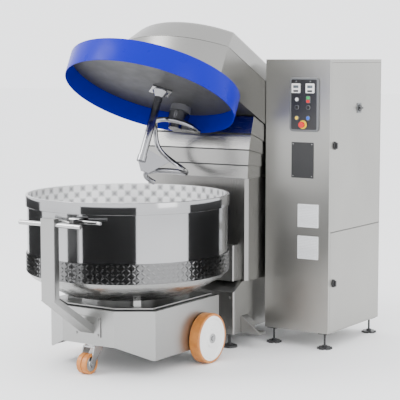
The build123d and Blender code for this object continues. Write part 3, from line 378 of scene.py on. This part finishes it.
# ---- shield lips ----------------------------------------------------------------------------------
# A thin near-black strip is set under the front edge of each shield. It is painted shade: it darkens the line
# where each shield overlaps the plate below, and stands in for the shadow that falls in that gap.
LIP_DEPTH, LIP_OUT, LIP_BACK, LIP_TOP, LIP_BEND = 0.007, 0.0012, 0.002, 0.001, 0.0005
SHIELD_RADII, SHIELD_ANGLE = (0.711, 0.770, 0.825), math.radians(26.1)
SHIELD_BODIES = ("lower_shield", "middle_shield", "upper_shield")
LIP_HALF, LIP_STEP = 0.409, 0.005
# The strips' near-black tone is painted shadow for the gaps under the shields.
gap_shade_finish, tree, surface = shader("painted_gap_shade_finish", (0.012, 0.012, 0.013), 0.6)
embossed(tree, surface, grained(tree, (200, 200, 200)), 0.0002, 0.4)
for step, (radius, body) in enumerate(zip(SHIELD_RADII, SHIELD_BODIES), 1):
    lean = tilt * step / (len(SHIELD_BODIES) + 1)
    up = np.array((0.0, math.sin(lean), math.cos(lean)))
    back = np.array((0.0, math.cos(lean), -math.sin(lean)))
    foot = pivot - radius * math.cos(SHIELD_ANGLE) * back + radius * math.sin(SHIELD_ANGLE) * up
    half = LIP_HALF + (step + 1) * LIP_STEP
    strip = rounded(oblong(LIP_BACK, -LIP_OUT, -LIP_DEPTH, LIP_TOP), LIP_BEND)
    section = strip[:, :1] * back + strip[:, 1:] * up
    run = np.array((-half, -half, half, half))[:, None, None]
    size = np.array((0.0, 1.0, 1.0, 0.0))[:, None, None]
    grid = foot + run * head_right + size * section + (1 - size) * section.mean(0)
    gap_shade_strip = joined(body + "_gap_shade_strip", [meshed("gap_shade_strip", grid, across=True)], gap_shade_finish)
    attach(gap_shade_strip, body)

# ---- spiral and breaker bar -----------------------------------------------------------------------
# Forged stainless tools, ground and polished bright. The spiral hangs from its spindle by a flange and
# a level arm, and the fixed bar beside it ends in a flared blade.
polish, tree, surface = shader("polished_tool_steel", (0.27, 0.27, 0.28), 0.12, metal=1.0)
tree.links.new(ranged(tree, grained(tree, (22, 22, 22)), 0.08, 0.19), surface.inputs["Roughness"])
embossed(tree, surface, grained(tree, (9, 9, 9), detail=1.0), 0.0008, 0.4)
softened("spiral_tool", polish, 0.003)
softened("breaker_bar", polish, 0.003)

# ---- bowl -----------------------------------------------------------------------------------------
# A deep stainless bowl, spun and polished outside, with a welded band at its rim. Inside, the crossed
# marks of the grinding wheel leave pale diamonds with a darker spot where they meet.
BOWL_STEPS = 256
LINING = 0.0012
BOWL_SHEET, BASE_FLAT, CORNER_BEND = 0.006, 0.30, 0.060
BAND_STAND, BAND_THICK, BAND_DEEP = 0.010, 0.016, 0.070
rim_low, rim_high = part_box("bowl_shell")
bowl_centre = ((rim_low.x + rim_high.x) / 2, (rim_low.y + rim_high.y) / 2, 0.0)
rim_r, rim_z, base_z = (rim_high.x - rim_low.x) / 2, rim_high.z, rim_low.z
wall_r, inner_r = rim_r - BAND_STAND, rim_r - BAND_THICK
bend_r, bend_z = wall_r - CORNER_BEND, base_z + CORNER_BEND
inner_bend = CORNER_BEND - BOWL_SHEET
band_z = rim_z - BAND_DEEP
arc = np.linspace(0, np.pi / 2, 9)[:, None]
vertical, sideways = (0, 0, 1), (1, 0, 0)


def corner_arc(radius, middle_r, middle_z):
    """Quarter circle in a section, from straight down to straight out: middle + radius (sin a, -cos a)."""
    return np.hstack((middle_r + radius * np.sin(arc), middle_z - radius * np.cos(arc)))


outer_profile = np.vstack(
    (
        ((0, base_z), (BASE_FLAT, base_z)),
        corner_arc(CORNER_BEND, bend_r, bend_z),
        (
            (wall_r, band_z),
            (rim_r - 0.0015, band_z),
            (rim_r, band_z + 0.0015),
            (rim_r, rim_z - 0.003),
            (rim_r - 0.001, rim_z - 0.0008),
            (rim_r - 0.003, rim_z),
            (inner_r + LINING, rim_z),
        ),
        corner_arc(inner_bend + LINING, bend_r, bend_z)[::-1],
        ((0, base_z + BOWL_SHEET - LINING),),
    )
)
lining_profile = np.vstack(
    (
        ((0, base_z + BOWL_SHEET - LINING / 2),),
        corner_arc(inner_bend + LINING / 2, bend_r, bend_z),
        ((inner_r + LINING / 2, rim_z - 0.0005), (inner_r, rim_z - 0.0005)),
        corner_arc(inner_bend, bend_r, bend_z)[::-1],
        ((0, base_z + BOWL_SHEET),),
    )
)
bowl_polish = brushed("bowl_polished_steel", (0.36, 0.36, 0.365), 0.13, (7, 7, 300))
shell = joined("bowl_wall", [turned(outer_profile, bowl_centre, vertical, sideways, BOWL_STEPS)], bowl_polish)
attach(shell, "bowl")
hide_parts("bowl_shell")

DIAMONDS_ROUND, DIAMOND_RISE = 44, 0.085
swirled, tree, surface = shader("bowl_ground_lining", (0.8, 0.8, 0.8), 0.38, metal=1.0)
nodes, link = tree.nodes, tree.links.new


def worked(operation, first, second=None):
    """One step of arithmetic on node values."""
    step = nodes.new("ShaderNodeMath")
    step.operation = operation
    for socket, value in zip(step.inputs, (first, second)):
        if isinstance(value, (int, float)):
            socket.default_value = value
        elif value is not None:
            link(value, socket)
    return step.outputs["Value"]


spot = nodes.new("ShaderNodeTexCoord")
centred = nodes.new("ShaderNodeVectorMath")
centred.operation = "SUBTRACT"
centred.inputs[1].default_value = bowl_centre
link(spot.outputs["Object"], centred.inputs[0])
parts = nodes.new("ShaderNodeSeparateXYZ")
link(centred.outputs["Vector"], parts.inputs["Vector"])
bearing = worked("ARCTAN2", parts.outputs["Y"], parts.outputs["X"])
turns = worked("MULTIPLY", bearing, DIAMONDS_ROUND / (2 * math.pi))
across, along = (worked("MULTIPLY", parts.outputs[axis], parts.outputs[axis]) for axis in "XY")
from_axis = worked("POWER", worked("ADD", across, along), 0.5)
rises = worked("DIVIDE", worked("SUBTRACT", parts.outputs["Z"], from_axis), DIAMOND_RISE)
rising = worked("PINGPONG", worked("ADD", turns, rises), 0.5)
falling = worked("PINGPONG", worked("SUBTRACT", turns, rises), 0.5)
quilt = worked("ADD", rising, falling)
quilt = worked("POWER", quilt, 1.4)
shade = nodes.new("ShaderNodeValToRGB")
shade.color_ramp.elements[0].color = (0.30, 0.30, 0.305, 1)
shade.color_ramp.elements[1].color = (1.0, 1.0, 1.0, 1)
shade.color_ramp.elements[1].position = 0.42
link(quilt, shade.inputs["Fac"])
link(shade.outputs["Color"], surface.inputs["Base Color"])
embossed(tree, surface, quilt, 0.0015, 0.6)
lining = joined("bowl_lining", [turned(lining_profile, bowl_centre, vertical, sideways, BOWL_STEPS)], swirled)
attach(lining, "bowl")

# ---- tread band and bowl base ---------------------------------------------------------------------
# The friction wheel drives the bowl on a band of chequer plate. Its raised lozenges lean left and
# right in turn. Under it the base is a plain spun cone.
LOZENGES, ROWS = 132, 5
LOZENGE_RISE, HALF_LENGTH, HALF_WIDTH, FLAT_TOP = 0.0030, 1.55, 0.46, 1.5
POINTS_ACROSS, POINTS_UP = 12, 10
BAND_GAP = 0.0002
band_low, band_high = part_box("drive_band")
band_r = (band_high.x - band_low.x) / 2
turn = np.linspace(0, 2 * np.pi, LOZENGES * POINTS_ACROSS, endpoint=False)[None, :]
rise = np.linspace(0, 1, ROWS * POINTS_UP + 1)[:, None]


def chequer(turn, rise):
    """Height of the plate's pattern: in each cell a lozenge whose long axis leans one way or the other.

    With s and t the place in the cell from -1 to 1, the height is FLAT_TOP times (1 minus the squares of
    the distance along the lozenge over its half length and of that across it over its half width), kept
    between 0 and 1, so the top is flat.
    """
    across, up = turn / (2 * np.pi) * LOZENGES, rise * ROWS
    lean = np.where((np.floor(across) + np.floor(up)) % 2 == 0, 1.0, -1.0)
    s, t = 2 * (across % 1) - 1, 2 * (up % 1) - 1
    length, width = (s + lean * t) / HALF_LENGTH, (s - lean * t) / HALF_WIDTH
    return np.clip(FLAT_TOP * (1 - length**2 - width**2), 0, 1)


def round_bowl(radius, height, angle):
    """Points round the bowl's axis: its centre + radius * (cos angle, sin angle), at a height."""
    east, north = bowl_centre[0] + radius * np.cos(angle), bowl_centre[1] + radius * np.sin(angle)
    return np.stack(np.broadcast_arrays(east, north, height + 0 * angle), -1)


plate_r = band_r - LOZENGE_RISE * (1 - chequer(turn, rise))
plate = round_bowl(plate_r, band_low.z + (band_high.z - band_low.z) * rise, turn)
back = round_bowl(wall_r + BAND_GAP, band_low.z, turn)
back_top = back + np.array((0, 0, band_high.z - band_low.z))
band_grid = np.vstack((plate, back_top, back))
tread_steel = brushed("tread_plate_steel", (0.17, 0.17, 0.17), 0.30, (60, 60, 60))
tread = joined("tread_plate", [meshed("tread_plate", band_grid, across=True, along=True)], tread_steel, 50)
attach(tread, "bowl")
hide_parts("drive_band")
softened("bowl_base", brushed("spun_steel", (0.363, 0.363, 0.356), 0.26, (8, 8, 340)), 0.001)
black_rubber, tree, surface = shader("drive_wheel_rubber", (0.02, 0.02, 0.02), 0.7)
embossed(tree, surface, grained(tree, (200, 200, 200)), 0.0003, 0.6)
finished("drive_wheel", black_rubber)

# ---- trolley and handle ---------------------------------------------------------------------------
# Folded and welded stainless sheet, glass-bead blasted to a pale satin. The post carries two round
# grips and a lever that lets the trolley go.
trolley_steel = brushed("trolley_satin_steel", (0.33, 0.33, 0.323), 0.33, (8, 400, 400))
for node in ("trolley_body", "turntable_frame", "handle_post"):
    softened(node, trolley_steel, 0.0025)
grip_steel = brushed("grip_polished_steel", (0.436, 0.436, 0.436), 0.2, (8, 200, 200))
finished("handle_bar", grip_steel)
finished("release_lever", grip_steel)
softened("caster_fork", grip_steel, 0.001)
finished("wheel_axle", grip_steel)

# ---- trolley wheels -------------------------------------------------------------------------------
# White moulded discs carry a thick cast tyre of amber polyurethane. A dished web, a raised boss and a
# steel washer show on the outside.
TYRE_THICK, TYRE_BENDS = 0.015, (0.010, 0.010, 0.003, 0.003)
AXLE_HOLE, BOSS_R, WEB_R, WASHER_R = 0.0152, 0.048, 0.056, 0.030
DISC_INSET, DISH_DEPTH, WASHER_STAND = 0.002, 0.012, 0.003
amber, tree, surface = shader("amber_polyurethane", (0.45, 0.16, 0.03), 0.38)
surface.inputs["Subsurface Weight"].default_value = 0.12
surface.inputs["Subsurface Radius"].default_value = (0.01, 0.004, 0.001)
clouds = grained(tree, (26, 26, 26))
tree.links.new(tinted(tree, clouds, (0.42, 0.14, 0.025), (0.56, 0.22, 0.045)), surface.inputs["Base Color"])
embossed(tree, surface, grained(tree, (240, 240, 240)), 0.0003, 0.4)
white, tree, surface = shader("white_moulding", (0.80, 0.80, 0.785), 0.34)
tree.links.new(ranged(tree, grained(tree, (40, 40, 40)), 0.28, 0.42), surface.inputs["Roughness"])
embossed(tree, surface, grained(tree, (180, 180, 180)), 0.0001, 0.3)
for side, outward in (("left", -1.0), ("right", 1.0)):
    low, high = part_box(side + "_tyre")
    centre = ((low.x + high.x) / 2, (low.y + high.y) / 2, (low.z + high.z) / 2)
    radius, half = (high.z - low.z) / 2, (high.x - low.x) / 2
    bore = radius - TYRE_THICK
    face, web = half - DISC_INSET, half - DISH_DEPTH
    tyre_profile = rounded(oblong(radius, bore, -half, half), TYRE_BENDS, 7)
    tyre = joined(side + "_tyre_ring", [turned(tyre_profile, centre, (outward, 0, 0), (0, 1, 0), 128)], amber)
    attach(tyre, side + "_wheel")
    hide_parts(side + "_tyre")
    dish = rounded(
        (
            (AXLE_HOLE, -face),
            (bore - 0.0002, -face),
            (bore - 0.0002, face),
            (bore - 0.014, face),
            (bore - 0.022, web),
            (WEB_R, web),
            (BOSS_R, face),
            (AXLE_HOLE, face),
        ),
        0.002,
    )
    disc = joined(side + "_wheel_disc", [turned(dish, centre, (outward, 0, 0), (0, 1, 0), 128)], white)
    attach(disc, side + "_wheel")
    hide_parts(side + "_wheel")
    washer = rounded(oblong(WASHER_R, AXLE_HOLE + 0.0002, face, half + WASHER_STAND), 0.0008)
    hub = joined(side + "_wheel_washer", [turned(washer, centre, (outward, 0, 0), (0, 1, 0), 64)], grip_steel)
    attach(hub, side + "_wheel")

# ---- twin caster ----------------------------------------------------------------------------------
# Two narrow wheels turn on one pin under a swivelling steel fork. Each is a steel disc with a band of the
# same amber polyurethane cast round it.
TREAD_IN, CASTER_GAP, CASTER_PIN = 0.046, 0.0015, 0.0082
TREAD_BENDS = (0.006, 0.006, 0.002, 0.002)
low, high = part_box("caster_wheels")
caster_mid = np.array(((low.x + high.x) / 2, (low.y + high.y) / 2, (low.z + high.z) / 2))
caster_r, caster_half = (high.z - low.z) / 2, (high.x - low.x) / 2
start, end = CASTER_GAP, caster_half - CASTER_GAP
treads, discs = [], []
for outward in (-1.0, 1.0):
    band = rounded(oblong(caster_r, TREAD_IN, start, end), TREAD_BENDS, 6)
    core = rounded(
        (
            (CASTER_PIN, start),
            (TREAD_IN - 0.0001, start),
            (TREAD_IN - 0.0001, end - 0.003),
            (0.024, end - 0.004),
            (0.020, end),
            (CASTER_PIN, end),
        ),
        0.0015,
    )
    treads.append(turned(band, caster_mid, (outward, 0, 0), (0, 1, 0), 72))
    discs.append(turned(core, caster_mid, (outward, 0, 0), (0, 1, 0), 72))
tread_pair = joined("caster_treads", treads, amber)
disc_pair = joined("caster_discs", discs, grip_steel)
for piece, slot in ((tread_pair, "tread_amber"), (disc_pair, "polished_steel")):
    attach(piece, "caster_wheels")
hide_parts("caster_wheels")

# ---- feet -----------------------------------------------------------------------------------------
# Round black moulded pads on threaded steel stems, screwed up or down under each corner to level the
# machine and the cabinet.
pad, tree, surface = shader("black_foot_moulding", (0.022, 0.022, 0.023), 0.45)
embossed(tree, surface, grained(tree, (220, 220, 220)), 0.0002, 0.5)
tree.links.new(ranged(tree, grained(tree, (60, 60, 60)), 0.35, 0.55), surface.inputs["Roughness"])
for node in ("machine_feet", "cabinet_feet"):
    softened(node, pad, 0.001)

# ---- cabinet fittings -----------------------------------------------------------------------------
# Black moulded latches close the doors. White filter grilles are clipped over the fans, a blank black
# plate is riveted to the front, and a plate inside carries the painted grey electrical gear.
GRILLE_HOLES = 190.0
black, tree, surface = shader("black_moulding", (0.018, 0.018, 0.019), 0.34)
tree.links.new(ranged(tree, grained(tree, (120, 120, 120)), 0.28, 0.42), surface.inputs["Roughness"])
embossed(tree, surface, grained(tree, (500, 500, 500)), 0.0001, 0.4)
for node in ("upper_latch", "lower_latch"):
    softened(node, black, 0.0008)
grille, tree, surface = shader("white_grille", (0.78, 0.79, 0.80), 0.5)
holes = tree.nodes.new("ShaderNodeTexVoronoi")
holes.inputs["Scale"].default_value = GRILLE_HOLES
holes.inputs["Randomness"].default_value = 0.12
spot = tree.nodes.new("ShaderNodeTexCoord")
tree.links.new(spot.outputs["Object"], holes.inputs["Vector"])
pierced = tree.nodes.new("ShaderNodeValToRGB")
for stop, place, tone in zip(
    pierced.color_ramp.elements, (0.22, 0.34), ((0.34, 0.35, 0.36, 1), (0.80, 0.81, 0.82, 1))
):
    stop.position, stop.color = place, tone
tree.links.new(holes.outputs["Distance"], pierced.inputs["Fac"])
tree.links.new(pierced.outputs["Color"], surface.inputs["Base Color"])
embossed(tree, surface, holes.outputs["Distance"], 0.0006, 0.6)
tree.links.new(ranged(tree, grained(tree, (90, 90, 90)), 0.42, 0.6), surface.inputs["Roughness"])
softened("vent_grilles", grille, 0.0008)
softened("name_plate", black, 0.0006)
gear, tree, surface = shader("grey_gear", (0.40, 0.41, 0.42), 0.5)
embossed(tree, surface, grained(tree, (150, 150, 150)), 0.0002, 0.4)
finished("equipment_plate", gear)

# ---- controls -------------------------------------------------------------------------------------
# A grey moulded bezel frames a black panel. Two timers, the keys, two selectors and a red mushroom stop
# are pushed through it from the front and held by nuts behind.
bezel, tree, surface = shader("bezel_grey", (0.13, 0.135, 0.14), 0.36)
embossed(tree, surface, grained(tree, (300, 300, 300)), 0.0001, 0.4)
softened("control_bezel", bezel, 0.001)
softened("isolator_plate", bezel, 0.001)
softened("control_panel", black, 0.0004)
KEY_COLOURS = {
    "white_button": ("white_key", (0.85, 0.85, 0.83), "white_plastic"),
    "yellow_button": ("yellow_key", (0.90, 0.62, 0.02), "yellow"),
    "blue_button": ("blue_key", (0.01, 0.10, 0.62), "blue"),
    "emergency_button": ("red_mushroom", (0.68, 0.008, 0.008), "red"),
    "start_button": ("green_key", (0.01, 0.42, 0.09), "green"),
    "stop_button": ("red_key", (0.66, 0.012, 0.012), "red"),
}
for node, (title, tone, slot) in KEY_COLOURS.items():
    gloss, tree, surface = shader(title, tone, 0.25)
    tree.links.new(ranged(tree, grained(tree, (300, 300, 300)), 0.18, 0.32), surface.inputs["Roughness"])
    softened(node, gloss, 0.0006)
softened("timers", white, 0.0008)
softened("button_collars", bezel, 0.0005)
for node in ("left_timer_key", "right_timer_key", "left_selector", "right_selector", "isolator_knob"):
    softened(node, black, 0.0005)

# ---- stop ring ------------------------------------------------------------------------------------
# A yellow moulded ring lies flat on the panel round the mushroom stop, held under its collar, so that the
# stop is easy to find.
STOP_RING_R, STOP_RING_HOLE, STOP_RING_STAND, STOP_RING_LIFT = 0.028, 0.0125, 0.0036, 0.0002
yellow, tree, surface = shader("yellow_ring_moulding", (0.88, 0.60, 0.01), 0.35)
tree.links.new(ranged(tree, grained(tree, (300, 300, 300)), 0.3, 0.42), surface.inputs["Roughness"])
low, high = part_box("emergency_button")
stop_centre = ((low.x + high.x) / 2, 0.0, (low.z + high.z) / 2)
panel_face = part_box("control_panel")[0].y
ring_back, ring_front = STOP_RING_LIFT - panel_face, STOP_RING_STAND - panel_face
ring = rounded(oblong(STOP_RING_R, STOP_RING_HOLE, ring_back, ring_front), 0.001)
ring_piece = joined("stop_ring", [turned(ring, stop_centre, (0, -1, 0), (1, 0, 0), 64)], yellow)
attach(ring_piece, "machine")

# ---- timer windows --------------------------------------------------------------------------------
# Each timer has a dark window of clear moulding over its display, snapped into the upper half of its
# white face.
WINDOW_WIDE, WINDOW_HIGH, WINDOW_DEEP, WINDOW_BEND = 0.040, 0.018, 0.0014, 0.0006
WINDOW_IN, WINDOW_DOWN, WINDOW_SUNK = 0.031, 0.021, 0.0018
SQUARENESS = 0.22


def tablet(wide, high, deep, centre, bend):
    """Flat block with rounded corners and edges, facing -Y.

    Its outline is a superellipse: the cosine and sine of the angle, each to the power SQUARENESS with its
    sign kept, times the half width and half height. Rows of it are drawn in at the front edge.
    """
    angle = np.linspace(0, 2 * np.pi, 96, endpoint=False)
    circle = np.stack((np.cos(angle), np.sin(angle)), -1)
    box = np.sign(circle) * np.abs(circle) ** SQUARENESS
    inset = np.array((0.0, 0.0, bend * 0.3, bend, 1.0))[:, None]
    depth = np.array((0.0, deep - bend, deep - bend * 0.3, deep, deep))
    reach = np.maximum(np.array((wide / 2, high / 2)) - inset, 0)
    flat = box[None] * reach[:, None]
    rows = np.stack((flat[..., 0], -depth[:, None] + 0 * flat[..., 0], flat[..., 1]), -1)
    rows = np.concatenate((rows[:1] * (0, 1, 0), rows))
    return meshed("tablet", np.asarray(centre) + rows, across=True)


window, tree, surface = shader("display_window", (0.10, 0.12, 0.13), 0.2)
tree.links.new(ranged(tree, grained(tree, (200, 200, 200)), 0.14, 0.26), surface.inputs["Roughness"])
low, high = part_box("timers")
window_places = [
    (x, low.y + WINDOW_SUNK, high.z - WINDOW_DOWN) for x in (low.x + WINDOW_IN, high.x - WINDOW_IN)
]
displays = [tablet(WINDOW_WIDE, WINDOW_HIGH, WINDOW_DEEP, place, WINDOW_BEND) for place in window_places]
display = joined("timer_windows", displays, window)
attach(display, "machine")

# ---- plate rivets ---------------------------------------------------------------------------------
# Four small domed steel rivets hold the blank plate to the cabinet's front, one near each corner,
# and are set from outside.
RIVET_IN, RIVET_SUNK = 0.012, 0.0002
low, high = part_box("name_plate")
rivet = rounded(((0.0, 0.0), (0.004, 0.0), (0.0034, 0.0013), (0.0, 0.0016)), (0.0, 0.0003, 0.0003, 0.0))
rivet_places = [
    (x, low.y + RIVET_SUNK, z)
    for x in (low.x + RIVET_IN, high.x - RIVET_IN)
    for z in (low.z + RIVET_IN, high.z - RIVET_IN)
]
rivets = [turned(rivet, place, (0, -1, 0), (1, 0, 0), 24) for place in rivet_places]
rivet_piece = joined("plate_rivets", rivets, grip_steel)
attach(rivet_piece, "machine")

# ---- floor, light and camera ----------------------------------------------------------------------
# A plain pale floor runs on as far as the lens sees, with nothing behind it but a pale sky. A large soft
# light stands above and to the left, and a weaker one fills from the right.
FLOOR_HALF = 60.0
floor_ends = (-FLOOR_HALF, FLOOR_HALF)
floor_grid = np.stack(np.meshgrid(floor_ends, floor_ends, (0.0,)), -1).reshape(2, 2, 3)
floor_mat, tree, surface = shader("pale_floor", (0.95, 0.95, 0.95), 0.8)
floor = joined("floor", [meshed("floor", floor_grid)], floor_mat)

world = bpy.data.worlds.new("studio")
bpy.context.scene.world = world
world.use_nodes = True
world.node_tree.nodes["Background"].inputs["Color"].default_value = (0.97, 0.98, 1.0, 1)
world.node_tree.nodes["Background"].inputs["Strength"].default_value = 2.6


def softbox(name, place, aim, size, power):
    """Square area light of a size at a place, turned to its aim."""
    lamp = bpy.data.lights.new(name, "AREA")
    lamp.size = size
    lamp.energy = power
    made = bpy.data.objects.new(name, lamp)
    made.location = place
    made.rotation_euler = (Vector(aim) - Vector(place)).to_track_quat("-Z", "Y").to_euler()
    bpy.context.scene.collection.objects.link(made)


softbox("key_light", (-4.0, -4.5, 5.5), (0, 0, 1), 3.0, 340)
softbox("side_light", (6.0, -1.5, 3.0), (0, 0.5, 1), 2.5, 60)

CAMERA_PLACE = (4.8147, -7.0859, 1.900)
CAMERA_TURN, CAMERA_DIP = 33.7, 6.05
lens = bpy.data.cameras.new("camera")
lens.lens = 119.5
lens.sensor_width = 36.0
lens.clip_end = 200
camera = bpy.data.objects.new("camera", lens)
camera.location = CAMERA_PLACE
camera.rotation_euler = (math.radians(90 - CAMERA_DIP), 0, math.radians(CAMERA_TURN))
bpy.context.scene.collection.objects.link(camera)
bpy.context.scene.camera = camera

# ---- studio flags ---------------------------------------------------------------------------------
# Three sheets of dark cloth stand round the docked bowl. Only reflections see them, and they give its
# polished steel dark bands. They are part of the studio and not of the mixer.
FLAG_LOW, FLAG_HIGH, FLAG_REACH = 0.50, 1.062, 0.72
FLAG_SPANS = ((-97, -65), (-29, 5), (40, 76))
toward_camera = Vector((CAMERA_PLACE[0] - bowl_centre[0], CAMERA_PLACE[1] - bowl_centre[1])).normalized()
facing = math.atan2(toward_camera.y, toward_camera.x)
flag_cloth, tree, surface = shader("flag_cloth", (0.12, 0.12, 0.12), 0.9)
for number, (start, end) in enumerate(FLAG_SPANS):
    angle = facing + np.radians(np.linspace(start, end, 24))[None, :]
    height = np.array((FLAG_LOW, FLAG_HIGH))[:, None]
    flag = joined(f"flag_{number}", [meshed("flag", round_bowl(FLAG_REACH, height, angle))], flag_cloth)
    flag.visible_camera = flag.visible_diffuse = flag.visible_shadow = flag.visible_transmission = False
